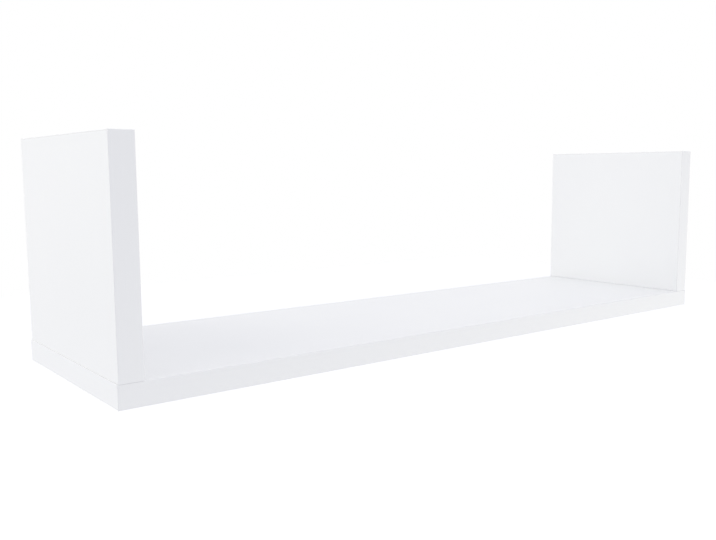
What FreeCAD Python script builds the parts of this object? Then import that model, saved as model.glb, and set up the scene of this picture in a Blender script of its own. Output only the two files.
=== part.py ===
"""Floating wall shelf: a U of three white boards, hung on two concealed rod supports.

x runs along the wall, y into the wall and z up. The origin lies on the wall plane, midway along the
shelf, at the height of the rod axes, which is the middle of the base board's thickness.
"""
import FreeCAD, Part
import math
import os
import Sketcher

# Driving dimensions: name, millimetres (or a count), and what it measures
SIZES = [
    ("shelf_length", 850, "base from end to end, over its end bands"),
    ("shelf_depth", 240, "from the wall to the front, over the front bands"),
    ("board_thickness", 22, "melamine-faced chipboard"),
    ("upright_height", 205, "upright above the base, over its top band"),
    ("band_thickness", 1, "edge band on every edge that shows"),
    ("band_rounding", 0.8, "radius along the outer edges of a band"),
    ("seam_bevel", 0.5, "broken inner edge of an upright's foot"),
    ("joint_inset", 45, "panel screws from the wall and from the front"),
    ("dowel_pitch", 32, "from a panel screw to the dowel beside it"),
    ("joint_fit", 0.1, "room on the diameter round dowels, screws and rivets"),
    ("dowel_diameter", 8, "fluted beech dowel"),
    ("dowel_length", 30, "dowel from end to end"),
    ("dowel_in_base", 11, "how far a dowel goes into the base"),
    ("dowel_end_room", 1, "glue room past each end of a dowel"),
    ("flute_depth", 0.4, "glue flutes along a dowel"),
    ("flute_count", 12, "flutes round a dowel"),
    ("screw_length", 50, "one-piece panel screw from head to tip"),
    ("screw_head_diameter", 10, "countersunk head"),
    ("screw_collar_diameter", 7, "plain collar under the head"),
    ("screw_collar_length", 12, "from the head's face to the end of the collar"),
    ("screw_core_diameter", 5, "shank in the upright"),
    ("pilot_room", 2, "pilot hole past the tip"),
    ("socket_width", 4, "hexagon socket across its flats"),
    ("socket_depth", 3.5, "hexagon socket from the head's face"),
    ("cap_diameter", 12.5, "plastic cap over a screw head"),
    ("cap_thickness", 1.2, "how far a cap stands below the base"),
    ("cap_slope", 0.6, "how far a cap's rim slopes inwards"),
    ("cap_pin_length", 2.8, "pin of a cap in the socket"),
    ("support_spacing", 480, "from rod axis to rod axis"),
    ("plate_length", 70, "wall plate along the wall"),
    ("plate_height", 14, "wall plate upright"),
    ("plate_thickness", 3, "steel of the wall plate"),
    ("plate_hole_diameter", 5, "wall screw hole"),
    ("plate_sink_diameter", 9, "countersink of a wall screw hole"),
    ("plate_hole_inset", 11, "from a plate's end to its screw hole"),
    ("pocket_clearance", 1, "room round and in front of a wall plate"),
    ("rod_diameter", 12, "support rod"),
    ("rod_reach", 120, "rod in front of its wall plate"),
    ("rod_chamfer", 1.5, "bevel at a rod's tip"),
    ("rod_fit", 0.3, "room on the diameter round a rod"),
    ("bore_room", 4, "bore past the tip of a rod"),
    ("rivet_diameter", 8, "turned-down end of a rod in its plate"),
    ("rivet_flare", 1, "upset edge of that end, in the back of the plate"),
]
SINK_ANGLE = 90
FULL_TURN = 360
ROUND_LIMIT = 0.9
TOUCH = 1e-4

# Sketcher numbers its axes downwards from -1, and the points of an element upwards from 1
H_AXIS, V_AXIS = range(-1, -3, -1)
START, END, CENTRE = range(1, 4)
ORIGIN = (H_AXIS, START)

# Lengths worked out from the sheet
HALF_BOARD = "(sizes.board_thickness / 2)"
CORE_HALF = "(sizes.shelf_length / 2 - sizes.band_thickness)"
CORE_DEPTH = "(sizes.shelf_depth - sizes.band_thickness)"
CORE_RISE = "(sizes.upright_height - sizes.band_thickness)"
BAND_ROUND = f"min(sizes.band_rounding; {ROUND_LIMIT} * sizes.band_thickness)"
SEAM_BEVEL = f"min(sizes.seam_bevel; {ROUND_LIMIT} * sizes.band_thickness)"
UPRIGHT_X = f"({CORE_HALF} - {HALF_BOARD})"
SUPPORT_X = "(sizes.support_spacing / 2)"
SCREW_Y = {
    "front": "(sizes.shelf_depth - sizes.joint_inset)",
    "rear": "(sizes.joint_inset)",
}
DOWEL_Y = {
    "front": "(sizes.shelf_depth - sizes.joint_inset - sizes.dowel_pitch)",
    "rear": "(sizes.joint_inset + sizes.dowel_pitch)",
}
DOWEL_HOLE = "(sizes.dowel_diameter + sizes.joint_fit)"
PILOT_HOLE = "(sizes.screw_core_diameter + sizes.joint_fit)"
COLLAR_HOLE = "(sizes.screw_collar_diameter + sizes.joint_fit)"
RIVET_HOLE = "(sizes.rivet_diameter + sizes.joint_fit)"
ROD_BORE = "(sizes.rod_diameter + sizes.rod_fit)"
ROD_END = "(sizes.plate_thickness + sizes.rod_reach)"
PLATE_ROUND = "(sizes.plate_height / 2)"
PLATE_RUN = f"(sizes.plate_length / 2 - {PLATE_ROUND})"
SIGNS = {"left": "-", "right": ""}

doc = FreeCAD.newDocument("wall_shelf")
sheet = doc.addObject("Spreadsheet::Sheet", "sizes")
for row, (alias, amount, meaning) in enumerate(SIZES, start=1):
    sheet.set(f"A{row}", meaning)
    sheet.set(f"B{row}", str(amount))
    sheet.setAlias(f"B{row}", alias)
doc.recompute()

pieces = []


def number(expression):
    """Value of an expression on the sheet."""
    return float(sheet.evalExpression(expression))


def signed(place):
    """Value of a place, which is an expression that may have a leading minus sign."""
    distance = number(place.lstrip("-"))
    return -distance if place.startswith("-") else distance


def new_body(name, x="0", y="0", z="0"):
    """Start the body of one piece, with its place bound to the sheet."""
    body = doc.addObject("PartDesign::Body", name)
    body.Label = name
    for axis, place in (("x", x), ("y", y), ("z", z)):
        body.setExpression(f"Placement.Base.{axis}", place)
    pieces.append(body)
    return body


def origin_feature(body, role):
    """Origin plane or axis of a body."""
    return next(feature for feature in body.Origin.OriginFeatures if feature.Role == role)


def sketch_on(body, plane, name, lift="0"):
    """Start a sketch on an origin plane, lifted along the plane's normal."""
    sketch = body.newObject("Sketcher::SketchObject", name)
    sketch.AttachmentSupport = (origin_feature(body, plane), [""])
    sketch.MapMode = "FlatFace"
    sketch.setExpression("AttachmentOffset.Base.z", lift)
    return sketch


def bind_constraint(sketch, constraint, expression):
    """Add a dimension to a sketch and bind it to the sheet."""
    index = sketch.addConstraint(constraint)
    sketch.setExpression(f"Constraints[{index}]", expression)


def locate(sketch, element, point, x, y):
    """Hold a sketch point at signed distances from the sketch's origin."""
    for kind, axis, place in (("DistanceX", V_AXIS, x), ("DistanceY", H_AXIS, y)):
        if place == "0":
            sketch.addConstraint(Sketcher.Constraint("PointOnObject", element, point, axis))
            continue
        ends = (*ORIGIN, element, point)
        if place.startswith("-"):
            ends = (element, point, *ORIGIN)
        distance = place.lstrip("-")
        bind_constraint(sketch, Sketcher.Constraint(kind, *ends, number(distance)), distance)


def draw_polygon(sketch, corners):
    """Draw a closed outline through corners given as signed expressions."""
    points = [FreeCAD.Vector(signed(x), signed(y), 0) for x, y in corners]
    following = points[1:] + points[:1]
    lines = [sketch.addGeometry(Part.LineSegment(a, b), False) for a, b in zip(points, following)]
    for before, line, (x, y) in zip(lines[-1:] + lines[:-1], lines, corners):
        sketch.addConstraint(Sketcher.Constraint("Coincident", before, END, line, START))
        locate(sketch, line, START, x, y)


def draw_rectangle(sketch, left, right, bottom, top):
    """Draw an upright rectangle between four signed distances."""
    draw_polygon(sketch, [(left, bottom), (right, bottom), (right, top), (left, top)])


def draw_circle(sketch, x, y, diameter):
    """Draw a circle round a point at signed distances."""
    centre = FreeCAD.Vector(signed(x), signed(y), 0)
    circle = Part.Circle(centre, FreeCAD.Vector(0, 0, 1), number(diameter) / 2)
    element = sketch.addGeometry(circle, False)
    bind_constraint(sketch, Sketcher.Constraint("Diameter", element, number(diameter)), diameter)
    locate(sketch, element, CENTRE, x, y)


def draw_stadium(sketch, left, right, radius):
    """Draw a slot with round ends about two centres on the sketch's horizontal axis."""
    normal = FreeCAD.Vector(0, 0, 1)
    up = FreeCAD.Vector(0, number(radius), 0)
    west = FreeCAD.Vector(signed(left), 0, 0)
    east = FreeCAD.Vector(signed(right), 0, 0)
    quarter = math.pi / 2
    west_circle = Part.Circle(west, normal, up.y)
    east_circle = Part.Circle(east, normal, up.y)
    outline = [
        Part.ArcOfCircle(west_circle, quarter, 3 * quarter),
        Part.LineSegment(west - up, east - up),
        Part.ArcOfCircle(east_circle, -quarter, quarter),
        Part.LineSegment(east + up, west + up),
    ]
    ring = [sketch.addGeometry(element, False) for element in outline]
    for element, following in zip(ring, ring[1:] + ring[:1]):
        sketch.addConstraint(Sketcher.Constraint("Tangent", element, END, following, START))
    west_end, _, east_end, _ = ring
    sketch.addConstraint(Sketcher.Constraint("Equal", west_end, east_end))
    bind_constraint(sketch, Sketcher.Constraint("Radius", west_end, up.y), radius)
    locate(sketch, west_end, CENTRE, left, "0")
    locate(sketch, east_end, CENTRE, right, "0")


def draw_hexagon(sketch, width):
    """Draw a hexagon round the sketch's origin, given its width across the flats."""
    flat = f"({width} / 2)"
    corner = f"({width} / (2 * sqrt(3)))"
    point = f"({width} / sqrt(3))"
    draw_polygon(sketch, [
        (flat, f"-{corner}"),
        (flat, corner),
        ("0", point),
        (f"-{flat}", corner),
        (f"-{flat}", f"-{corner}"),
        ("0", f"-{point}"),
    ])


def pad(body, sketch, length, reverse=False, both_ways=False):
    """Thicken a sketch, to one side or evenly to both."""
    feature = body.newObject("PartDesign::Pad", "panel")
    feature.Profile = sketch
    feature.setExpression("Length", length)
    feature.Reversed = reverse
    if both_ways:
        feature.SideType = "Symmetric"
    doc.recompute()


def turn(body, sketch):
    """Turn a half profile round the sketch's vertical axis."""
    feature = body.newObject("PartDesign::Revolution", "turned")
    feature.Profile = sketch
    feature.ReferenceAxis = (sketch, ["V_Axis"])
    doc.recompute()


def check_cut(body, before, feature):
    """Stop if a cut has taken nothing away."""
    doc.recompute()
    if body.Shape.Volume > before - TOUCH:
        raise RuntimeError(f"{body.Label}: {feature.Label} cuts nothing")


def pocket(body, sketch, name, depth=None):
    """Cut a sketch's outline along its normal, right through if no depth is given."""
    before = body.Shape.Volume
    feature = body.newObject("PartDesign::Pocket", name)
    feature.Profile = sketch
    feature.Reversed = True
    if depth:
        feature.setExpression("Length", depth)
    else:
        feature.Type = "ThroughAll"
    check_cut(body, before, feature)
    return feature


def drill(body, sketch, name, diameter, depth=None, sink=None, along_normal=True):
    """Drill the circles of a sketch, flat-bottomed or right through, countersunk if asked."""
    doc.recompute()
    before = body.Shape.Volume
    feature = body.newObject("PartDesign::Hole", name)
    feature.Profile = sketch
    doc.recompute()
    feature.Reversed = along_normal
    feature.DrillPoint = "Flat"
    feature.setExpression("Diameter", diameter)
    if depth:
        feature.DepthType = "Dimension"
        feature.setExpression("Depth", depth)
    else:
        feature.DepthType = "ThroughAll"
    if sink:
        feature.HoleCutType = "Countersink"
        feature.HoleCutCustomValues = True
        feature.HoleCutCountersinkAngle = SINK_ANGLE
        feature.setExpression("HoleCutDiameter", sink)
    check_cut(body, before, feature)


def edges_where(body, keep):
    """Names of the edges of a body's last feature whose boxes pass a test."""
    edges = enumerate(body.Tip.Shape.Edges, start=1)
    return [f"Edge{place}" for place, edge in edges if keep(edge.BoundBox)]


def round_edges(body, keep):
    """Round the chosen outer edges of an edge band."""
    edges = edges_where(body, keep)
    base = body.Tip
    feature = body.newObject("PartDesign::Fillet", "rounding")
    feature.Base = (base, edges)
    feature.setExpression("Radius", BAND_ROUND)
    doc.recompute()


def bevel_edges(body, keep):
    """Break the chosen edge at the foot of an upright."""
    edges = edges_where(body, keep)
    base = body.Tip
    feature = body.newObject("PartDesign::Chamfer", "seam")
    feature.Base = (base, edges)
    feature.setExpression("Size", SEAM_BEVEL)
    doc.recompute()


def near(value, expected):
    """True where two lengths are the same."""
    return abs(value - expected) < TOUCH


def make_base_board():
    """Base board with its screw and dowel holes, rod bores and plate pockets."""
    body = new_body("base_board")
    outline = sketch_on(body, "XY_Plane", "outline")
    draw_rectangle(outline, f"-{CORE_HALF}", CORE_HALF, f"-{CORE_DEPTH}", "0")
    pad(body, outline, "sizes.board_thickness", both_ways=True)

    recesses = sketch_on(body, "XZ_Plane", "pocket_outlines")
    bores = sketch_on(body, "XZ_Plane", "bore_centres")
    screws = sketch_on(body, "XY_Plane", "screw_centres", f"-{HALF_BOARD}")
    dowels = sketch_on(body, "XY_Plane", "dowel_centres", HALF_BOARD)
    for sign in SIGNS.values():
        ends = [f"{sign}({SUPPORT_X} - {PLATE_RUN})", f"{sign}({SUPPORT_X} + {PLATE_RUN})"]
        west, east = sorted(ends, key=signed)
        draw_stadium(recesses, west, east, f"({PLATE_ROUND} + sizes.pocket_clearance)")
        draw_circle(bores, f"{sign}{SUPPORT_X}", "0", ROD_BORE)
        for place in SCREW_Y.values():
            draw_circle(screws, f"{sign}{UPRIGHT_X}", f"-{place}", COLLAR_HOLE)
        for place in DOWEL_Y.values():
            draw_circle(dowels, f"{sign}{UPRIGHT_X}", f"-{place}", DOWEL_HOLE)

    pocket(body, recesses, "plate_pockets", "sizes.plate_thickness + sizes.pocket_clearance")
    drill(body, bores, "rod_bores", ROD_BORE, depth=f"{ROD_END} + sizes.bore_room")
    drill(body, screws, "screw_holes", COLLAR_HOLE, sink="sizes.screw_head_diameter + sizes.joint_fit")
    drill(body, dowels, "dowel_holes", DOWEL_HOLE,
          depth="sizes.dowel_in_base + sizes.dowel_end_room", along_normal=False)


def make_base_bands():
    """Edge bands on the front and the two ends of the base."""
    band = number("sizes.band_thickness")
    front = new_body("base_front_band", y=f"-{CORE_DEPTH}")
    outline = sketch_on(front, "XZ_Plane", "outline")
    reach = "(sizes.shelf_length / 2)"
    draw_rectangle(outline, f"-{reach}", reach, f"-{HALF_BOARD}", HALF_BOARD)
    pad(front, outline, "sizes.band_thickness")
    round_edges(front, lambda box: near(box.YMax, -band))

    for side, sign in SIGNS.items():
        end = new_body(f"base_{side}_band", x=f"{sign}{CORE_HALF}")
        outline = sketch_on(end, "YZ_Plane", "outline")
        draw_rectangle(outline, f"-{CORE_DEPTH}", "0", f"-{HALF_BOARD}", HALF_BOARD)
        pad(end, outline, "sizes.band_thickness", reverse=side == "left")
        outer = signed(f"{sign}sizes.band_thickness")
        round_edges(end, lambda box: near(box.Center.x, outer) and near(box.ZLength, 0))


def make_upright(side, sign):
    """One upright: its drilled board, and the edge bands on its front and top."""
    band = number("sizes.band_thickness")
    rise = number(CORE_RISE)
    top = number("sizes.upright_height")
    place = f"{sign}{UPRIGHT_X}"
    inner = -signed(f"{sign}{HALF_BOARD}")

    board = new_body(f"{side}_upright_board", x=place, z=HALF_BOARD)
    outline = sketch_on(board, "XY_Plane", "outline")
    draw_rectangle(outline, f"-{HALF_BOARD}", HALF_BOARD, f"-{CORE_DEPTH}", "0")
    pad(board, outline, CORE_RISE)
    bevel_edges(board, lambda box: near(box.ZMax, 0) and near(box.Center.x, inner))
    pilots = sketch_on(board, "XY_Plane", "pilot_centres")
    dowels = sketch_on(board, "XY_Plane", "dowel_centres")
    for distance in SCREW_Y.values():
        draw_circle(pilots, "0", f"-{distance}", PILOT_HOLE)
    for distance in DOWEL_Y.values():
        draw_circle(dowels, "0", f"-{distance}", DOWEL_HOLE)
    drill(board, pilots, "pilot_holes", PILOT_HOLE,
          depth="sizes.screw_length - sizes.board_thickness + sizes.pilot_room")
    drill(board, dowels, "dowel_holes", DOWEL_HOLE,
          depth="sizes.dowel_length - sizes.dowel_in_base + sizes.dowel_end_room")

    front = new_body(f"{side}_upright_front_band", x=place, y=f"-{CORE_DEPTH}", z=HALF_BOARD)
    outline = sketch_on(front, "XZ_Plane", "outline")
    draw_rectangle(outline, f"-{HALF_BOARD}", HALF_BOARD, "0", "sizes.upright_height")
    pad(front, outline, "sizes.band_thickness")
    round_edges(front, lambda box: near(box.YMax, -band) and near(box.ZMax, top))

    cover = new_body(f"{side}_upright_top_band", x=place, z=f"{HALF_BOARD} + {CORE_RISE}")
    outline = sketch_on(cover, "XY_Plane", "outline")
    draw_rectangle(outline, f"-{HALF_BOARD}", HALF_BOARD, f"-{CORE_DEPTH}", "0")
    pad(cover, outline, "sizes.band_thickness")
    round_edges(cover, lambda box: near(box.ZMin, band) and near(box.XLength, 0))


def make_dowel(name, x, y):
    """Fluted beech dowel between the base and an upright."""
    body = new_body(name, x=x, y=y, z=f"{HALF_BOARD} - sizes.dowel_in_base")
    outline = sketch_on(body, "XY_Plane", "outline")
    draw_circle(outline, "0", "0", "sizes.dowel_diameter")
    pad(body, outline, "sizes.dowel_length")
    radius = "(sizes.dowel_diameter / 2)"
    flute = sketch_on(body, "XY_Plane", "flute")
    outside = f"({radius} + sizes.flute_depth)"
    draw_polygon(flute, [
        (f"({radius} - sizes.flute_depth)", "0"),
        (outside, "-sizes.flute_depth"),
        (outside, "sizes.flute_depth"),
    ])
    groove = pocket(body, flute, "glue_flute")
    ring = body.newObject("PartDesign::PolarPattern", "glue_flutes")
    ring.Originals = [groove]
    ring.Axis = (origin_feature(body, "Z_Axis"), [""])
    ring.Angle = FULL_TURN
    ring.setExpression("Occurrences", "sizes.flute_count")
    body.Tip = ring


def make_panel_screw(name, x, y):
    """Countersunk panel screw with a hexagon socket, head flush with the underside of the base."""
    body = new_body(name, x=x, y=y, z=f"-{HALF_BOARD}")
    half = sketch_on(body, "XZ_Plane", "half_section")
    head = "(sizes.screw_head_diameter / 2)"
    collar = "(sizes.screw_collar_diameter / 2)"
    core = "(sizes.screw_core_diameter / 2)"
    draw_polygon(half, [
        ("0", "0"),
        (head, "0"),
        (collar, f"({head} - {collar})"),
        (collar, "sizes.screw_collar_length"),
        (core, "sizes.screw_collar_length"),
        (core, "sizes.screw_length"),
        ("0", "sizes.screw_length"),
    ])
    turn(body, half)
    socket = sketch_on(body, "XY_Plane", "hexagon")
    draw_hexagon(socket, "sizes.socket_width")
    pocket(body, socket, "hexagon_socket", "sizes.socket_depth")


def make_screw_cap(name, x, y):
    """Plastic cap with a sloped rim on the underside of the base, its pin in the screw's socket."""
    body = new_body(name, x=x, y=y, z=f"-{HALF_BOARD}")
    half = sketch_on(body, "XZ_Plane", "half_section")
    rim = "(sizes.cap_diameter / 2)"
    draw_polygon(half, [
        ("0", "-sizes.cap_thickness"),
        (f"({rim} - sizes.cap_slope)", "-sizes.cap_thickness"),
        (rim, "0"),
        ("0", "0"),
    ])
    turn(body, half)
    pin = sketch_on(body, "XY_Plane", "pin")
    draw_hexagon(pin, "(sizes.socket_width - sizes.joint_fit)")
    pad(body, pin, "sizes.cap_pin_length")


def make_support(side, sign):
    """One concealed support: a wall plate and the rod riveted in it."""
    place = f"{sign}{SUPPORT_X}"
    plate = new_body(f"{side}_wall_plate", x=place)
    outline = sketch_on(plate, "XZ_Plane", "outline")
    draw_stadium(outline, f"-{PLATE_RUN}", PLATE_RUN, PLATE_ROUND)
    pad(plate, outline, "sizes.plate_thickness")
    rivet = sketch_on(plate, "XZ_Plane", "rivet_centre")
    draw_circle(rivet, "0", "0", RIVET_HOLE)
    drill(plate, rivet, "rivet_hole", RIVET_HOLE, sink=f"{RIVET_HOLE} + 2 * sizes.rivet_flare")
    screws = sketch_on(plate, "XZ_Plane", "screw_centres", "sizes.plate_thickness")
    hole_x = "(sizes.plate_length / 2 - sizes.plate_hole_inset)"
    for hole_sign in SIGNS.values():
        draw_circle(screws, f"{hole_sign}{hole_x}", "0", "sizes.plate_hole_diameter")
    drill(plate, screws, "screw_holes", "sizes.plate_hole_diameter",
          sink="sizes.plate_sink_diameter", along_normal=False)

    rod = new_body(f"{side}_support_rod", x=place)
    half = sketch_on(rod, "XY_Plane", "half_section")
    neck = "(sizes.rivet_diameter / 2)"
    radius = "(sizes.rod_diameter / 2)"
    draw_polygon(half, [
        ("0", "0"),
        (f"({neck} + sizes.rivet_flare)", "0"),
        (neck, "-sizes.rivet_flare"),
        (neck, "-sizes.plate_thickness"),
        (radius, "-sizes.plate_thickness"),
        (radius, f"-({ROD_END} - sizes.rod_chamfer)"),
        (f"({radius} - sizes.rod_chamfer)", f"-{ROD_END}"),
        ("0", f"-{ROD_END}"),
    ])
    turn(rod, half)


make_base_board()
make_base_bands()
for side, sign in SIGNS.items():
    make_upright(side, sign)
    for row in SCREW_Y:
        make_dowel(f"{side}_{row}_dowel", f"{sign}{UPRIGHT_X}", f"-{DOWEL_Y[row]}")
        make_panel_screw(f"{side}_{row}_panel_screw", f"{sign}{UPRIGHT_X}", f"-{SCREW_Y[row]}")
        make_screw_cap(f"{side}_{row}_screw_cap", f"{sign}{UPRIGHT_X}", f"-{SCREW_Y[row]}")
    make_support(side, sign)
doc.recompute()

failed = [item.Label for item in doc.Objects if {"Invalid", "Error"} & set(item.State)]
for piece in pieces:
    if piece.Shape.isNull() or not piece.Shape.isValid() or len(piece.Shape.Solids) != 1:
        failed.append(piece.Label)
if failed:
    raise RuntimeError(f"failed: {', '.join(failed)}")

os.makedirs("parts", exist_ok=True)
for piece in pieces:
    piece.Shape.exportStep(f"parts/{piece.Label}.step")
print(f"{len(pieces)} pieces written")
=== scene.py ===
"""Looks of a white floating wall shelf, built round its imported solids.

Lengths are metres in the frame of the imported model: x runs along the wall, y into the wall and z up. The
origin lies on the wall plane, midway along the shelf, at the height of the rod axes. The finishes come
first, then the sub-assemblies that wear them, and then the studio.
"""

import logging
import math
from abc import ABC, abstractmethod
from dataclasses import dataclass
from enum import Enum, IntEnum
from functools import cache
from typing import Any, ClassVar, Optional, Union

import bmesh
import bpy
from mathutils import Matrix, Vector


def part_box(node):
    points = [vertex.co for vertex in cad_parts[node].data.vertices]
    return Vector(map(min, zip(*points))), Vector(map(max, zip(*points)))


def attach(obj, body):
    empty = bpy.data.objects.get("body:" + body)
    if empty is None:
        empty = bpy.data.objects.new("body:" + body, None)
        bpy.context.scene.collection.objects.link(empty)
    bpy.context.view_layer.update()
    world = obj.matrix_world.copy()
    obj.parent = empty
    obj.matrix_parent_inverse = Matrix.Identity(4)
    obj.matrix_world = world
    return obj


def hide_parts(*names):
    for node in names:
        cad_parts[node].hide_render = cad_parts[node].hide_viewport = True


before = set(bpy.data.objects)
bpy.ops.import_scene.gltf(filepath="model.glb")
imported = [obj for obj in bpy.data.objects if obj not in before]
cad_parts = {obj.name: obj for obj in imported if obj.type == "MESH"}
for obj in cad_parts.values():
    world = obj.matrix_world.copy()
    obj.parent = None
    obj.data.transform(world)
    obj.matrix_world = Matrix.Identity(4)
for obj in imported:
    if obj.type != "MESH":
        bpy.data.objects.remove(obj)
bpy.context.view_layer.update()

log = logging.getLogger("wall_shelf")

HALF = 0.5
FULL_TURN = 2 * math.pi
BLACK = (0.0, 0.0, 0.0)
WHITE = (1.0, 1.0, 1.0)

# Points closer than this are one point
WELD = 1e-6
# Faces that meet at less than this angle are one flat face
FLAT_ANGLE = math.radians(0.5)
# Edges that turn by more than this angle are shaded sharp
SHARP_ANGLE = math.radians(35)
# Faces across a small rounding
ROUNDING_STEPS = 2

Triple = tuple[float, float, float]
Colour = Triple
Stop = tuple[float, Colour]
Key = Union[str, int]
Value = Union["Signal", float, Triple]


class Side(Enum):
    """End of the shelf, as seen from the room."""

    LEFT = "left"
    RIGHT = "right"


class Row(Enum):
    """Row of fasteners in the foot of an upright."""

    FRONT = "front"
    REAR = "rear"


class Axis(Enum):
    """Axis of the frame, by its place in a vector."""

    X = 0
    Y = 1
    Z = 2


class Body(Enum):
    """Body of the frame that a piece moves with."""

    SUPPORTS = "wall_supports"
    SHELF = "shelf"


class Slot(Enum):
    """Name of a material slot, kept with each kind of new piece."""

    BEECH = "beech"
    SCREW = "panel_screw_steel"


class Ray(Enum):
    """Kind of ray that shows a background, by its output of a Light Path node."""

    CAMERA = "Is Camera Ray"
    GLOSSY = "Is Glossy Ray"
    TRANSMISSION = "Is Transmission Ray"


class Octaves(Enum):
    """Layers of finer and finer features in a noise."""

    PLAIN = 1.0
    SOFT = 2.0
    FINE = 3.0
    RICH = 4.0


class ColourMix(IntEnum):
    """Place of a socket that a Mix node uses for colours, because other sockets have the same names."""

    SHARE = 0
    FIRST = 6
    SECOND = 7
    RESULT = 2


class Signal:
    """Output of a shader node, with operators that add Math nodes."""

    def __init__(self, graph: "Graph", socket: bpy.types.NodeSocket) -> None:
        """Wrap one output socket of a graph."""
        self.graph = graph
        self.socket = socket

    def apply(self, operation: str, *values: Value) -> "Signal":
        """Add a Math node that works on the values in order."""
        return self.graph.node("ShaderNodeMath", {"operation": operation}, dict(enumerate(values)))

    def __add__(self, other: Value) -> "Signal":
        """This signal plus another value."""
        return self.apply("ADD", self, other)

    def __radd__(self, other: Value) -> "Signal":
        """Another value plus this signal."""
        return self.apply("ADD", other, self)

    def __sub__(self, other: Value) -> "Signal":
        """This signal less another value."""
        return self.apply("SUBTRACT", self, other)

    def __rsub__(self, other: Value) -> "Signal":
        """Another value less this signal."""
        return self.apply("SUBTRACT", other, self)

    def __mul__(self, other: Value) -> "Signal":
        """This signal times another value."""
        return self.apply("MULTIPLY", self, other)

    def __rmul__(self, other: Value) -> "Signal":
        """Another value times this signal."""
        return self.apply("MULTIPLY", other, self)

    def __abs__(self) -> "Signal":
        """Size of this signal, whatever its sign."""
        return self.apply("ABSOLUTE", self)

    def __gt__(self, other: Value) -> "Signal":
        """1 where this signal is above another value, and 0 elsewhere."""
        return self.apply("GREATER_THAN", self, other)

    def __lt__(self, other: Value) -> "Signal":
        """1 where this signal is below another value, and 0 elsewhere."""
        return self.apply("LESS_THAN", self, other)

    def __or__(self, other: "Signal") -> "Signal":
        """Larger of two masks."""
        return self.apply("MAXIMUM", self, other)

    def centred(self) -> "Signal":
        """Signal that runs from 0 to 1, moved to lie about 0."""
        return self - HALF

    def wave(self) -> "Signal":
        """Sine of this signal, brought to run from 0 to 1."""
        return HALF + HALF * self.apply("SINE", self)


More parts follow.
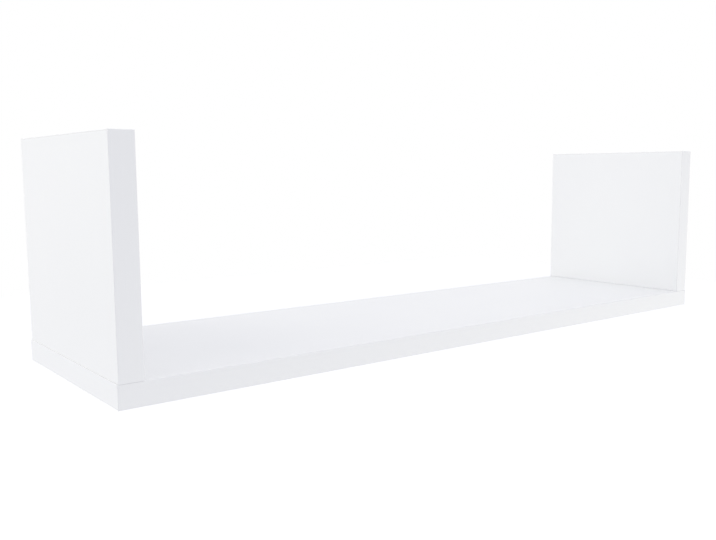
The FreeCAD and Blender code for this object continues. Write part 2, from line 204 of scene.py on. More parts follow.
class Graph:
    """Node tree of a material or a world."""

    def __init__(self, tree: bpy.types.NodeTree) -> None:
        """Take a tree that already holds its output node."""
        self.tree = tree

    def node(
        self,
        kind: str,
        settings: dict[str, Any],
        sockets: dict[Key, Value],
        output: Key = 0,
    ) -> Signal:
        """Add one node.

        Args:
            kind: Type of the node.
            settings: Properties that are set first. "stops" holds the places and colours of a ramp.
            sockets: Constants or signals for its inputs, by their names or places.
            output: Name or place of the output that is wanted.

        Returns:
            That output.
        """
        made = self.tree.nodes.new(kind)
        for name, setting in settings.items():
            if name == "stops":
                self.set_stops(made.color_ramp, setting)
            else:
                setattr(made, name, setting)
        for key, value in sockets.items():
            self.feed(made.inputs[key], value)
        return Signal(self, made.outputs[output])

    def set_stops(self, ramp: bpy.types.ColorRamp, stops: tuple[Stop, ...]) -> None:
        """Give a colour ramp its stops.

        Args:
            ramp: Ramp of a new node, which starts with two stops.
            stops: Place and colour of each stop, from low to high.
        """
        while len(ramp.elements) < len(stops):
            ramp.elements.new(1.0)
        for element, (place, colour) in zip(ramp.elements, stops):
            element.position = place
            element.color = (*colour, 1.0)

    def feed(self, socket: bpy.types.NodeSocket, value: Value) -> None:
        """Link a signal to an input, or set the input to a constant.

        Args:
            socket: Input of a node.
            value: Signal, number, colour or vector for it.
        """
        if isinstance(value, Signal):
            self.tree.links.new(value.socket, socket)
        elif socket.type == "RGBA":
            socket.default_value = (*value, 1.0)
        else:
            socket.default_value = value

    def vector(self, operation: str, sockets: dict[Key, Value]) -> Signal:
        """Colour or vector worked out by a Vector Math node."""
        return self.node("ShaderNodeVectorMath", {"operation": operation}, sockets)

    def place(self) -> Signal:
        """Place on the piece, in metres."""
        return self.node("ShaderNodeTexCoord", {}, {}, "Object")

    def along(self, place: Signal, axis: Axis) -> Signal:
        """Coordinate of a place along one axis."""
        return self.node("ShaderNodeSeparateXYZ", {}, {0: place}, axis.value)

    def stretch(self, place: Signal, scales: Triple) -> Signal:
        """Place with each coordinate multiplied by its own scale."""
        return self.vector("MULTIPLY", {0: place, 1: scales})

    def noise(self, place: Signal, scale: float = 1.0, octaves: Octaves = Octaves.SOFT) -> Signal:
        """Soft noise from 0 to 1, with about as many features to the metre as its scale."""
        sockets = {"Vector": place, "Scale": scale, "Detail": octaves.value}
        return self.node("ShaderNodeTexNoise", {}, sockets, "Fac")

    def jitter(self, place: Signal, scale: float, reach: float) -> Signal:
        """Place moved about at random.

        Args:
            place: Place before it moves.
            scale: Features of the movement to the metre.
            reach: Largest movement, in metres.

        Returns:
            The moved place.
        """
        colours = self.node("ShaderNodeTexNoise", {}, {"Vector": place, "Scale": scale}, "Color")
        centred = self.vector("SUBTRACT", {0: colours, 1: (HALF, HALF, HALF)})
        moved = self.vector("SCALE", {0: centred, "Scale": 2 * reach})
        return self.vector("ADD", {0: place, 1: moved})

    def cells(self, place: Signal) -> Signal:
        """Random number of the unit cell that a stretched place lies in."""
        colour = self.node("ShaderNodeTexVoronoi", {}, {"Vector": place, "Scale": 1.0}, "Color")
        return self.node("ShaderNodeSeparateColor", {}, {0: colour}, "Red")

    def cracks(self, place: Signal) -> Signal:
        """Distance from a stretched place to the edge of its unit cell."""
        settings = {"feature": "DISTANCE_TO_EDGE"}
        return self.node("ShaderNodeTexVoronoi", settings, {"Vector": place, "Scale": 1.0}, "Distance")

    def shade(self, colour: Value, factor: Value) -> Signal:
        """Colour made lighter or darker by a factor."""
        return self.vector("SCALE", {0: colour, "Scale": factor})

    def blend(self, share: Value, first: Value, second: Value) -> Signal:
        """Colour between two, the second where the share is 1."""
        sockets = {ColourMix.SHARE: share, ColourMix.FIRST: first, ColourMix.SECOND: second}
        return self.node("ShaderNodeMix", {"data_type": "RGBA"}, sockets, ColourMix.RESULT)

    def ramp(self, value: Signal, stops: tuple[Stop, ...]) -> Signal:
        """Colour of a value on a ramp."""
        return self.node("ShaderNodeValToRGB", {"stops": stops}, {"Fac": value}, "Color")

    def bump(self, height: Signal) -> Signal:
        """Normal of a surface raised by a height in metres."""
        return self.node("ShaderNodeBump", {}, {"Height": height, "Distance": 1.0}, "Normal")

    def seen_directly(self) -> Signal:
        """Mask of the rays that show a background: 1 from the camera, a mirror or glass, and 0 elsewhere."""
        camera, glossy, transmission = (self.node("ShaderNodeLightPath", {}, {}, ray.value) for ray in Ray)
        return camera | glossy | transmission


@dataclass(frozen=True)
class Finish(ABC):
    """Finish of a surface, which equal pieces share as one material."""

    name: str

    @cache
    def material(self) -> bpy.types.Material:
        """Make the finish's material.

        Returns:
            A material whose shader takes the values of surface().
        """
        material = bpy.data.materials.new(self.name)
        material.use_nodes = True
        graph = Graph(material.node_tree)
        shader = material.node_tree.nodes["Principled BSDF"]
        for socket, value in self.surface(graph).items():
            graph.feed(shader.inputs[socket], value)
        return material

    @abstractmethod
    def surface(self, graph: Graph) -> dict[str, Value]:
        """Values of the shader's inputs, by their names."""


@dataclass(frozen=True)
class MelamineBoard(Finish):
    """White melamine film on the two faces of a chipboard, and raw chips on its cut edges and bores.

    The board lies square to one axis, its middle at one distance from the origin on either side of it. The
    film also covers the broken edge at the foot of a board that has one.
    """

    normal: Axis
    middle: float
    half_thickness: float
    foot: Optional[float] = None

    # Film, with slow clouds and a fine pearl
    film_depth: float = 0.00018
    foot_bevel: float = 0.00055
    white: Colour = (0.872, 0.876, 0.884)
    cloud_scale: float = 9.0
    cloud_share: float = 0.012
    pearl_scale: float = 1300.0
    pearl_depth: float = 7e-6
    film_roughness: float = 0.44
    cloud_sheen: float = 0.10
    pearl_sheen: float = 0.05

    # Chips, finer in the layer under each face, with fibres in them and cracks between them that get painted
    # shade
    fine_layer: float = 0.0032
    fine_share: float = 0.45
    chip_length: float = 0.0030
    chip_width: float = 0.0009
    chip_tones: tuple[Stop, ...] = (
        (0.0, (0.30, 0.185, 0.095)),
        (0.2, (0.50, 0.345, 0.195)),
        (0.7, (0.64, 0.475, 0.29)),
        (1.0, (0.76, 0.60, 0.40)),
    )
    chip_light: float = 0.84
    chip_depth: float = 0.00009
    chip_roughness: float = 0.86
    jitter_share: float = 0.4
    fibre_scale: float = 3.0
    fibre_light: float = 0.32
    fibre_height: float = 0.3
    crack_width: float = 0.07
    crack_painted_shade: float = 0.38

    def filmed(self, graph: Graph, place: Signal, depth: Signal) -> Signal:
        """Mask of the film.

        Args:
            graph: Graph of the material.
            place: Place on the board.
            depth: Distance from the board's middle plane.

        Returns:
            1 on the film, and 0 on raw chips.
        """
        faces = depth > self.half_thickness - self.film_depth
        if self.foot is None:
            return faces
        edge = depth > self.half_thickness - self.foot_bevel
        low = graph.along(place, Axis.Z) < self.foot + self.foot_bevel
        return faces | edge * low

    def chips(self, graph: Graph, place: Signal, share: float) -> tuple[Signal, Signal]:
        """Colour and height of chips pressed flat into the board, with painted shade in the cracks between
        them.

        Args:
            graph: Graph of the material.
            place: Place on the board.
            share: Size of these chips, as a share of the core's.

        Returns:
            The chips' colour, and their height as a share of their depth.
        """
        sizes = [self.chip_width if axis is self.normal else self.chip_length for axis in Axis]
        scales = tuple(1 / (share * size) for size in sizes)
        moved = graph.jitter(place, self.jitter_share * max(scales), share * self.chip_width)
        spread = graph.stretch(moved, scales)
        tone = graph.cells(spread)
        fibre = graph.noise(graph.stretch(place, scales), self.fibre_scale)
        crack = graph.cracks(spread) < self.crack_width
        # Painted shade: the cracks, which the relief lowers, are also darkened in colour
        light = self.chip_light + self.fibre_light * fibre - self.crack_painted_shade * crack
        colour = graph.shade(graph.ramp(tone, self.chip_tones), light)
        return colour, tone * (1 - crack) + self.fibre_height * fibre

    def surface(self, graph: Graph) -> dict[str, Value]:
        """Film where the board's own faces lie, and chips elsewhere.

        Args:
            graph: Graph of the material.

        Returns:
            Values of the shader's inputs.
        """
        place = graph.place()
        depth = abs(abs(graph.along(place, self.normal)) - self.middle)
        film = self.filmed(graph, place, depth)
        cloud = graph.noise(place, self.cloud_scale, Octaves.FINE)
        pearl = graph.noise(place, self.pearl_scale, Octaves.PLAIN)
        white = graph.shade(self.white, 1 - self.cloud_share * cloud)
        sheen = self.film_roughness + self.cloud_sheen * cloud.centred() + self.pearl_sheen * pearl.centred()

        fine = depth > self.half_thickness - self.fine_layer
        core_colour, core_height = self.chips(graph, place, 1.0)
        fine_colour, fine_height = self.chips(graph, place, self.fine_share)
        chips = graph.blend(fine, core_colour, fine_colour)
        relief = core_height + fine * (fine_height - core_height)
        height = film * self.pearl_depth * pearl + (1 - film) * self.chip_depth * relief
        return {
            "Base Color": graph.blend(film, chips, white),
            "Roughness": self.chip_roughness + film * (sheen - self.chip_roughness),
            "Normal": graph.bump(height),
        }


@dataclass(frozen=True)
class EdgeBand(Finish):
    """White edge band with faint lines along its run, and a thin glue line where it meets the board.

    The glue lies at one distance from the origin along the axis across the band, on either side of it.
    """

    run: Axis
    across: Axis
    inner: float
    glue_depth: float = 0.00012
    glue_colour: Colour = (0.60, 0.58, 0.54)
    glue_dulling: float = 0.3
    white: Colour = (0.868, 0.872, 0.882)
    line_scale: float = 1100.0
    line_share: float = 0.016
    line_depth: float = 5e-6
    run_scale: float = 14.0
    roughness: float = 0.40
    sheen_share: float = 0.06

    def surface(self, graph: Graph) -> dict[str, Value]:
        """Lines along the band's run, and glue at its inner face.

        Args:
            graph: Graph of the material.

        Returns:
            Values of the shader's inputs.
        """
        place = graph.place()
        scales = tuple(self.run_scale if axis is self.run else self.line_scale for axis in Axis)
        lines = graph.noise(graph.stretch(place, scales), octaves=Octaves.FINE)
        cloud = graph.noise(place, self.run_scale)
        glue = abs(graph.along(place, self.across)) - self.inner < self.glue_depth
        white = graph.shade(self.white, 1 - self.line_share * lines)
        sheen = self.roughness + self.sheen_share * (lines.centred() + cloud.centred())
        return {
            "Base Color": graph.blend(glue, white, self.glue_colour),
            "Roughness": sheen + self.glue_dulling * glue,
            "Normal": graph.bump(self.line_depth * lines),
        }


@dataclass(frozen=True)
class CapPlastic(Finish):
    """White moulded plastic with the fine grain of a spark-eroded mould."""

    white: Colour = (0.84, 0.845, 0.85)
    grain_scale: float = 2600.0
    grain_share: float = 0.015
    grain_depth: float = 9e-6
    grain_sheen: float = 0.10
    cloud_scale: float = 160.0
    cloud_share: float = 0.02
    roughness: float = 0.46

    def surface(self, graph: Graph) -> dict[str, Value]:
        """Grain all over, and slow shifts of tone.

        Args:
            graph: Graph of the material.

        Returns:
            Values of the shader's inputs.
        """
        place = graph.place()
        grain = graph.noise(place, self.grain_scale, Octaves.PLAIN)
        cloud = graph.noise(place, self.cloud_scale)
        light = 1 - self.cloud_share * cloud - self.grain_share * grain
        return {
            "Base Color": graph.shade(self.white, light),
            "Roughness": self.roughness + self.grain_sheen * grain.centred(),
            "Normal": graph.bump(self.grain_depth * grain),
        }


@dataclass(frozen=True)
class PlatedSteel(Finish):
    """Bright zinc on steel, with cloudy patches over the marks of the tool that shaped it."""

    zinc: Colour = (0.58, 0.60, 0.62)
    stain: Colour = (0.46, 0.47, 0.475)
    patch_scale: float = 260.0
    patch_sheen: float = 0.16
    crystal_size: float = 0.0016
    crystal_low: float = 0.95
    crystal_share: float = 0.10
    mark_depth: float = 6e-6
    mark_sheen: float = 0.06
    roughness: float = 0.30

    @abstractmethod
    def marks(self, graph: Graph, place: Signal) -> Signal:
        """Tool marks under the zinc, from 0 to 1."""

    def surface(self, graph: Graph) -> dict[str, Value]:
        """Zinc whose tone and gloss follow its patches, crystals and tool marks.

        Args:
            graph: Graph of the material.

        Returns:
            Values of the shader's inputs.
        """
        place = graph.place()
        patch = graph.noise(place, self.patch_scale, Octaves.RICH)
        crystal = graph.cells(graph.stretch(place, (1 / self.crystal_size,) * len(Axis)))
        marks = self.marks(graph, place)
        colour = graph.blend(patch, self.zinc, self.stain)
        sheen = self.patch_sheen * patch.centred() + self.mark_sheen * marks.centred()
        return {
            "Base Color": graph.shade(colour, self.crystal_low + self.crystal_share * crystal),
            "Metallic": 1.0,
            "Roughness": self.roughness + sheen,
            "Normal": graph.bump(self.mark_depth * marks),
        }


@dataclass(frozen=True)
class RolledPlate(PlatedSteel):
    """Zinc on rolled strip, with lines along the strip."""

    line_scale: float = 2600.0
    run_scale: float = 60.0

    def marks(self, graph: Graph, place: Signal) -> Signal:
        """Lines along the strip."""
        scales = (self.run_scale, self.line_scale, self.line_scale)
        return graph.noise(graph.stretch(place, scales), octaves=Octaves.FINE)


@dataclass(frozen=True)
class TurnedRod(PlatedSteel):
    """Zinc on a turned rod, with the fine rings of the tool along it."""

    feed: float = 0.00022
    mark_depth: float = 4e-6

    def marks(self, graph: Graph, place: Signal) -> Signal:
        """Rings at the pitch of the tool's feed."""
        return (graph.along(place, Axis.Y) * (FULL_TURN / self.feed)).wave()


@dataclass(frozen=True)
class RolledThread(PlatedSteel):
    """Zinc on a screw with a rolled thread, with drawn lines along its shank."""

    line_scale: float = 4200.0
    run_scale: float = 150.0
    mark_depth: float = 3e-6

    def marks(self, graph: Graph, place: Signal) -> Signal:
        """Lines along the shank."""
        return graph.noise(graph.stretch(place, (self.line_scale, self.line_scale, self.run_scale)))


@dataclass(frozen=True)
class Beech(Finish):
    """Beech with straight grain along the dowel and short dark flecks."""

    pale: Colour = (0.66, 0.47, 0.30)
    deep: Colour = (0.50, 0.32, 0.185)
    fleck: Colour = (0.34, 0.20, 0.11)
    run_share: float = 0.06
    grain_scale: float = 900.0
    grain_depth: float = 2.5e-5
    grain_sheen: float = 0.16
    fleck_scale: float = 2400.0
    fleck_level: float = 0.63
    fleck_share: float = 0.7
    fleck_dulling: float = 0.1
    roughness: float = 0.62

    def surface(self, graph: Graph) -> dict[str, Value]:
        """Grain and flecks drawn out along the dowel.

        Args:
            graph: Graph of the material.

        Returns:
            Values of the shader's inputs.
        """
        drawn = graph.stretch(graph.place(), (1.0, 1.0, self.run_share))
        grain = graph.noise(drawn, self.grain_scale, Octaves.RICH)
        fleck = graph.noise(drawn, self.fleck_scale) > self.fleck_level
        wood = graph.blend(grain, self.pale, self.deep)
        return {
            "Base Color": graph.blend(self.fleck_share * fleck, wood, self.fleck),
            "Roughness": self.roughness + self.grain_sheen * grain.centred() + self.fleck_dulling * fleck,
            "Normal": graph.bump(self.grain_depth * (grain - fleck)),
        }


@dataclass(frozen=True)
class StudioFloor(Finish):
    """Pale matt floor that the camera, and mirrors, see lifted towards white."""

    pale: Colour = (0.82, 0.82, 0.83)
    lift: Colour = (0.40, 0.40, 0.40)
    speck_scale: float = 30.0
    speck_share: float = 0.02
    roughness: float = 0.9

    def surface(self, graph: Graph) -> dict[str, Value]:
        """Pale colour that takes the shelf's shadow, and the lift.

        Args:
            graph: Graph of the material.

        Returns:
            Values of the shader's inputs.
        """
        speck = graph.noise(graph.place(), self.speck_scale, Octaves.RICH)
        return {
            "Base Color": graph.shade(self.pale, 1 - self.speck_share * speck),
            "Roughness": self.roughness,
            "Emission Color": graph.blend(graph.seen_directly(), BLACK, self.lift),
            "Emission Strength": 1.0,
        }


def dress_node(name: str, finish: Finish) -> bpy.types.Object:
    """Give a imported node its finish.

    Args:
        name: Name of the node.
        finish: Finish that covers it all over.

    Returns:
        The node's object.
    """
    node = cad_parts[name]
    for slot in node.material_slots:
        slot.material = finish.material()
    return node


def break_edges(piece: bpy.types.Object, width: float) -> None:
    """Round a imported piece's sharp edges a little.

    Its faces are joined and its flat faces made whole first, so that only true edges are rounded.

    Args:
        piece: Piece whose faces may still lie apart along their edges.
        width: Width of the rounding.
    """
    weld = piece.modifiers.new("weld", "WELD")
    weld.merge_threshold = WELD
    flatten = piece.modifiers.new("flatten", "DECIMATE")
    flatten.decimate_type = "DISSOLVE"
    flatten.angle_limit = FLAT_ANGLE
    bevel = piece.modifiers.new("bevel", "BEVEL")
    bevel.width = width
    bevel.segments = ROUNDING_STEPS
    bevel.limit_method = "ANGLE"
    bevel.harden_normals = True


def skin(name: str, rows: list[list[Vector]]) -> bpy.types.Object:
    """Close rows of points into one piece.

    Args:
        name: Name of the piece.
        rows: Rows of points from end to end. A row's two ends meet, or its last point lies where a later
            row starts, and the first and last rows are single points repeated.

    Returns:
        A piece with a closed mesh, linked to the scene.
    """
    shell = bmesh.new()
    grid = [[shell.verts.new(point) for point in row] for row in rows]
    for lower, upper in zip(grid, grid[1:]):
        for here, (first, second) in enumerate(zip(lower, lower[1:])):
            shell.faces.new((first, second, upper[here + 1], upper[here]))
    bmesh.ops.remove_doubles(shell, verts=shell.verts, dist=WELD)
    bmesh.ops.recalc_face_normals(shell, faces=shell.faces)
    mesh = bpy.data.meshes.new(name)
    shell.to_mesh(mesh)
    shell.free()
    mesh.shade_smooth()
    mesh.set_sharp_from_angle(angle=SHARP_ANGLE)
    piece = bpy.data.objects.new(name, mesh)
    bpy.context.scene.collection.objects.link(piece)
    return piece


def on_circle(radius: float, angle: float, height: float) -> Vector:
    """Point at an angle round the z axis."""
    return Vector((radius * math.cos(angle), radius * math.sin(angle), height))


class Assembly(ABC):
    """Sub-assembly of the shelf, whose pieces all move with one body."""

    body: ClassVar[Body]

    @abstractmethod
    def build(self) -> list[bpy.types.Object]:
        """Make and dress the pieces."""


@dataclass
class Base(Assembly):
    """Base board with the edge bands on its front and ends."""

    half_core: float
    core_depth: float
    half_thickness: float
    body: ClassVar[Body] = Body.SHELF

    @classmethod
    def measured(cls) -> "Base":
        """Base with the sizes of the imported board."""
        low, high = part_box("base_board")
        return cls(half_core=high.x, core_depth=-low.y, half_thickness=high.z)

    def build(self) -> list[bpy.types.Object]:
        """Dress the board and its bands.

        Returns:
            The dressed pieces.
        """
        film = MelamineBoard("melamine_base", normal=Axis.Z, middle=0.0, half_thickness=self.half_thickness)
        front = EdgeBand("band_base_front", run=Axis.X, across=Axis.Y, inner=self.core_depth)
        end = EdgeBand("band_base_end", run=Axis.Y, across=Axis.X, inner=self.half_core)
        board = dress_node("base_board", film)
        edge = dress_node("base_front_band", front)
        return [board, edge, *(dress_node(f"base_{side.value}_band", end) for side in Side)]


@dataclass
class Upright(Assembly):
    """Upright board with the edge bands on its front and top."""

    side: Side
    middle: float
    half_thickness: float
    core_depth: float
    core_foot: float
    core_top: float
    body: ClassVar[Body] = Body.SHELF

    @classmethod
    def measured(cls, side: Side) -> "Upright":
        """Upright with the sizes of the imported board.

        Args:
            side: End of the shelf that it stands on.

        Returns:
            The upright of that end.
        """
        low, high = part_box(f"{side.value}_upright_board")
        return cls(
            side=side,
            middle=abs(low.x + high.x) / 2,
            half_thickness=(high.x - low.x) / 2,
            core_depth=-low.y,
            core_foot=low.z,
            core_top=high.z,
        )

    def build(self) -> list[bpy.types.Object]:
        """Dress the board and its bands.

        Returns:
            The dressed pieces.
        """
        film = MelamineBoard(
            "melamine_upright",
            normal=Axis.X,
            middle=self.middle,
            half_thickness=self.half_thickness,
            foot=self.core_foot,
        )
        front = EdgeBand("band_upright_front", run=Axis.Z, across=Axis.Y, inner=self.core_depth)
        top = EdgeBand("band_upright_top", run=Axis.Y, across=Axis.Z, inner=self.core_top)
        finishes = {"board": film, "front_band": front, "top_band": top}
        start = f"{self.side.value}_upright"
        return [dress_node(f"{start}_{word}", finish) for word, finish in finishes.items()]


@dataclass
class Fastener(ABC):
    """Detailed fastener that takes the place of a packed one, upright on its lower end."""

    node: str
    place: Vector
    length: float
    radius: float
    packed_word: ClassVar[str]
    detailed_word: ClassVar[str]
    finish: ClassVar[Finish]
    slot: ClassVar[Slot]

    @classmethod
    def measured(cls, start: str) -> "Fastener":
        """Fastener with the place, length and radius of a packed one.

        Args:
            start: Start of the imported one's name, before the word for its kind.

        Returns:
            The fastener that stands for it.
        """
        node = f"{start}_{cls.packed_word}"
        low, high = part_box(node)
        middle = (low + high) / 2
        return cls(
            node=node,
            place=Vector((middle.x, middle.y, low.z)),
            length=high.z - low.z,
            radius=(high.x - low.x) / 2,
        )

    @abstractmethod
    def rows(self) -> list[list[Vector]]:
        """Rows of points from end to end, about the fastener's place."""

    def build(self) -> bpy.types.Object:
        """Make the fastener.

        Returns:
            The bare piece, in its place.
        """
        piece = skin(self.node.replace(self.packed_word, self.detailed_word), self.rows())
        piece.location = self.place
        return piece

    def dress(self, piece: bpy.types.Object, body: Body) -> None:
        """Give the fastener its finish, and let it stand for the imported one.

        Args:
            piece: The piece that build() made.
            body: Body that it moves with.
        """
        piece.data.materials.append(self.finish.material())
        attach(piece, body.value)
        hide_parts(self.node)


@dataclass
class PanelScrew(Fastener):
    """One-piece panel screw with a rolled thread, its head in the underside of the base."""

    rim: float = 0.0002
    collar_radius: float = 0.0035
    collar_end: float = 0.012
    core_radius: float = 0.0024
    crest_radius: float = 0.0034
    crest_width: float = 0.30
    pitch: float = 0.003
    rows_per_turn: int = 12
    tip_radius: float = 0.0012
    tip_length: float = 0.003
    socket_width: float = 0.004
    socket_depth: float = 0.0035
    socket_sides: int = 6
    segments: int = 48
    packed_word: ClassVar[str] = "panel_screw"
    detailed_word: ClassVar[str] = "threaded_screw"
    finish: ClassVar[Finish] = RolledThread("zinc_screw")
    slot: ClassVar[Slot] = Slot.SCREW

    def angles(self) -> list[float]:
        """Angles of a row's points, over one whole turn."""
        return [FULL_TURN * step / self.segments for step in range(self.segments + 1)]

    def circle(self, radius: float, height: float) -> list[Vector]:
        """Row of points on a circle."""
        return [on_circle(radius, angle, height) for angle in self.angles()]

    def hexagon(self, height: float) -> list[Vector]:
        """Row of points on the socket's outline.

        Args:
            height: Height of the row above the head's face.

        Returns:
            The row, with a point on each corner.
        """
        side = FULL_TURN / self.socket_sides
        row = []
        for angle in self.angles():
            off_flat = (angle + side / 2) % side - side / 2
            row.append(on_circle(self.socket_width / 2 / math.cos(off_flat), angle, height))
        return row

    def thread(self, start: float, end: float) -> list[list[Vector]]:
        """Rows of points that climb with the thread.

        Args:
            start: Height where the thread runs out towards the collar.
            end: Height where it runs out towards the tip.

        Returns:
            The rows, whose first and last lie level at the two ends.
        """
        depth = self.crest_radius - self.core_radius
        turns = (end - start) / self.pitch
        rows = []
        for number in range(-self.rows_per_turn, math.ceil(turns * self.rows_per_turn) + 1):
            phase = (number % self.rows_per_turn) / self.rows_per_turn
            crest = max(0.0, 1 - abs(2 * phase - 1) / self.crest_width)
            row = []
            for angle in self.angles():
                climbed = number / self.rows_per_turn + angle / FULL_TURN
                height = min(max(start + climbed * self.pitch, start), end)
                fade = min(1.0, (height - start) / self.pitch, (end - height) / self.pitch)
                row.append(on_circle(self.core_radius + depth * crest * fade, angle, height))
            rows.append(row)
        return rows

    def rows(self) -> list[list[Vector]]:
        """Rows from the floor of the socket, round the head and up to the tip.

        Returns:
            The rows, about the middle of the head's face.
        """
        corner = self.socket_width / 2 / math.cos(FULL_TURN / self.socket_sides / 2)
        shank = self.collar_end + self.collar_radius - self.core_radius
        return [
            self.circle(0.0, self.socket_depth),
            self.hexagon(self.socket_depth),
            self.hexagon(2 * self.rim),
            self.circle(corner + self.rim, 0.0),
            self.circle(self.radius - 2 * self.rim, 0.0),
            self.circle(self.radius - self.rim, self.rim),
            self.circle(self.collar_radius, self.radius - self.collar_radius),
            self.circle(self.collar_radius, self.collar_end),
            *self.thread(shank, self.length - self.tip_length),
            self.circle(self.tip_radius, self.length),
            self.circle(0.0, self.length),
        ]


@dataclass
class Dowel(Fastener):
    """Fluted beech dowel with bevelled ends."""

    bevel: float = 0.001
    flute_count: int = 12
    flute_depth: float = 0.0005
    flute_power: int = 3
    points_per_flute: int = 10
    packed_word: ClassVar[str] = "dowel"
    detailed_word: ClassVar[str] = "fluted_dowel"
    finish: ClassVar[Finish] = Beech("beech_dowel")
    slot: ClassVar[Slot] = Slot.BEECH

    def ring(self, radius: float, height: float) -> list[Vector]:
        """Row of points round the dowel, drawn in by the flutes.

        Args:
            radius: Radius of the row where no flute cuts it.
            height: Height of the row above the dowel's lower end.

        Returns:
            The row.
        """
        points = self.flute_count * self.points_per_flute
        row = []
        for step in range(points + 1):
            angle = FULL_TURN * step / points
            cut = max(0.0, math.cos(self.flute_count * angle)) ** self.flute_power
            row.append(on_circle(min(radius, self.radius - self.flute_depth * cut), angle, height))
        return row

    def rows(self) -> list[list[Vector]]:
        """Rows from the lower end to the upper.

        Returns:
            The rows, about the middle of the lower end.
        """
        neck = self.radius - self.bevel
        return [
            self.ring(0.0, 0.0),
            self.ring(neck, 0.0),
            self.ring(self.radius, self.bevel),
            self.ring(self.radius, self.length - self.bevel),
            self.ring(neck, self.length),
            self.ring(0.0, self.length),
        ]


@dataclass
class Joinery(Assembly):
    """Dowels, panel screws and screw caps that hold one upright on the base."""

    side: Side
    cap_edge: float = 0.00015
    body: ClassVar[Body] = Body.SHELF

    def build(self) -> list[bpy.types.Object]:
        """Make the fasteners and dress the caps.

        Returns:
            The finished pieces.
        """
        pieces = []
        for row in Row:
            start = f"{self.side.value}_{row.value}"
            for kind in (PanelScrew, Dowel):
                fastener = kind.measured(start)
                piece = fastener.build()
                fastener.dress(piece, self.body)
                pieces.append(piece)
            cap = dress_node(f"{start}_screw_cap", CapPlastic("cap_plastic_white"))
            break_edges(cap, self.cap_edge)
            pieces.append(cap)
        return pieces


@dataclass
class WallSupport(Assembly):
    """Concealed support: a wall plate and the rod riveted in it."""

    side: Side
    edge: float = 0.00025
    body: ClassVar[Body] = Body.SUPPORTS

    def build(self) -> list[bpy.types.Object]:
        """Dress the plate and the rod.

        Returns:
            The dressed pieces.
        """
        plate = dress_node(f"{self.side.value}_wall_plate", RolledPlate("zinc_plate"))
        rod = dress_node(f"{self.side.value}_support_rod", TurnedRod("zinc_rod"))
        for piece in (plate, rod):
            break_edges(piece, self.edge)
        return [plate, rod]


@dataclass
class SoftBox:
    """Rectangular soft light that the camera doesn't see."""

    name: str
    place: Triple
    aim: Triple
    width: float
    height: float
    power: float
    colour: Colour
    in_gloss: bool = True

    def build(self) -> bpy.types.Object:
        """Make the light and turn it to its aim.

        Returns:
            The light.
        """
        lamp = bpy.data.lights.new(self.name, "AREA")
        lamp.shape = "RECTANGLE"
        lamp.size = self.width
        lamp.size_y = self.height
        lamp.energy = self.power
        lamp.color = self.colour
        light = bpy.data.objects.new(self.name, lamp)
        light.location = self.place
        heading = Vector(self.aim) - Vector(self.place)
        light.rotation_euler = heading.to_track_quat("-Z", "Y").to_euler()
        light.visible_camera = False
        light.visible_glossy = self.in_gloss
        bpy.context.scene.collection.objects.link(light)
        return light


@dataclass
class PhotoCamera:
    """Camera at the photograph's viewpoint.

    Its turns are in degrees, and level is the turn from looking down to looking ahead. The lengths of its
    focus, centre and picture are in pixels of that picture, and its sensor is in millimetres.
    """

    eye: Triple = (-0.65451, -0.87696, 0.17979)
    yaw: float = 40.7047
    pitch: float = -6.9260
    roll: float = 0.1095
    focal: float = 801.42
    centre_x: float = 415.88
    centre_y: float = 273.09
    picture_width: float = 716.0
    picture_height: float = 540.0
    sensor: float = 36.0
    level: float = 90.0

    def turned(self, degrees: float, axis: Axis) -> Matrix:
        """Turn about an axis, as a matrix of four rows."""
        return Matrix.Rotation(math.radians(degrees), 4, axis.name)

    def build(self) -> bpy.types.Object:
        """Make the camera and let the scene use it.

        Returns:
            The camera.
        """
        lens = bpy.data.cameras.new("photo_camera")
        lens.sensor_fit = "HORIZONTAL"
        lens.sensor_width = self.sensor
        lens.lens = self.sensor * self.focal / self.picture_width
        lens.shift_x = (self.picture_width / 2 - self.centre_x) / self.picture_width
        lens.shift_y = (self.centre_y - self.picture_height / 2) / self.picture_width
        camera = bpy.data.objects.new("photo_camera", lens)
        heading = self.turned(-self.yaw, Axis.Z)
        tilt = self.turned(self.level + self.pitch, Axis.X)
        lean = self.turned(self.roll, Axis.Z)
        camera.matrix_world = Matrix.Translation(self.eye) @ heading @ tilt @ lean
        bpy.context.scene.collection.objects.link(camera)
        bpy.context.scene.camera = camera
        return camera


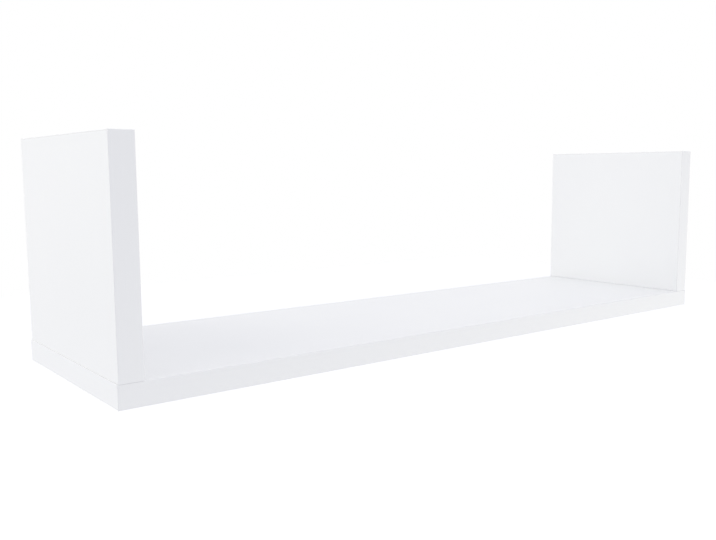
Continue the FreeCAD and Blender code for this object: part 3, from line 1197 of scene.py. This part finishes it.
@dataclass
class Studio:
    """White studio with a pale floor well below the hung shelf."""

    floor_drop: float = 1.2
    floor_half: float = 9.0
    floor_cells: int = 8
    sky: Colour = (0.92, 0.932, 1.0)
    sky_level: float = 0.808
    shelf_middle: Triple = (0.0, -0.12, 0.05)
    shelf_right: Triple = (0.3, -0.2, 0.0)

    def lights(self) -> list[SoftBox]:
        """Soft lights round the shelf.

        Returns:
            The lights, not built yet.
        """
        back_left = SoftBox(
            "back_left",
            place=(-4.0, 2.0, 0.8),
            aim=self.shelf_middle,
            width=3.0,
            height=3.0,
            power=42.0,
            colour=(1.0, 0.982, 0.815),
        )
        high_left = SoftBox(
            "high_left",
            place=(-2.2, -0.4, 1.7),
            aim=self.shelf_middle,
            width=1.6,
            height=1.6,
            power=7.5,
            colour=(1.0, 1.0, 0.95),
        )
        overhead = SoftBox(
            "overhead",
            place=(0.3, -0.3, 2.2),
            aim=self.shelf_middle,
            width=1.8,
            height=1.8,
            power=9.8,
            colour=(1.0, 0.98, 0.91),
        )
        low_right = SoftBox(
            "low_right",
            place=(0.7, -1.1, -0.65),
            aim=self.shelf_right,
            width=1.8,
            height=1.0,
            power=6.9,
            colour=(1.0, 0.98, 0.82),
            in_gloss=False,
        )
        return [back_left, high_left, overhead, low_right]

    def build_floor(self) -> bpy.types.Object:
        """Make the floor, which isn't part of the shelf.

        Returns:
            The floor.
        """
        mesh = bpy.data.meshes.new("studio_floor")
        cells = self.floor_cells
        sheet = bmesh.new()
        bmesh.ops.create_grid(sheet, x_segments=cells, y_segments=cells, size=self.floor_half)
        sheet.to_mesh(mesh)
        sheet.free()
        floor = bpy.data.objects.new("studio_floor", mesh)
        floor.location = (0.0, 0.0, -self.floor_drop)
        mesh.materials.append(StudioFloor("floor_pale").material())
        bpy.context.scene.collection.objects.link(floor)
        return floor

    def build_sky(self) -> bpy.types.World:
        """Make the world: even light on the shelf, and white behind it.

        Returns:
            The world.
        """
        world = bpy.data.worlds.new("studio_sky")
        world.use_nodes = True
        graph = Graph(world.node_tree)
        light = graph.node("ShaderNodeBackground", {}, {"Color": self.sky, "Strength": self.sky_level})
        white = graph.node("ShaderNodeBackground", {}, {"Color": WHITE, "Strength": 1.0})
        mixed = graph.node("ShaderNodeMixShader", {}, {0: graph.seen_directly(), 1: light, 2: white})
        graph.feed(world.node_tree.nodes["World Output"].inputs["Surface"], mixed)
        bpy.context.scene.world = world
        return world

    def build(self) -> None:
        """Make the floor, the sky, the lights and the camera."""
        self.build_floor()
        self.build_sky()
        for light in self.lights():
            light.build()
        PhotoCamera().build()


def main() -> None:
    """Build every sub-assembly in order, then the studio round them."""
    logging.basicConfig(level=logging.INFO, format="%(message)s")
    bpy.context.scene.view_settings.view_transform = "Standard"
    assemblies: list[Assembly] = [Base.measured()]
    assemblies += [Upright.measured(side) for side in Side]
    assemblies += [Joinery(side) for side in Side]
    assemblies += [WallSupport(side) for side in Side]
    for assembly in assemblies:
        kind = type(assembly).__name__
        for piece in assembly.build():
            finish = piece.active_material.name
            log.info("%s: %s in %s, on %s", kind, piece.name, finish, assembly.body.value)
    Studio().build()


if __name__ == "__main__":
    main()
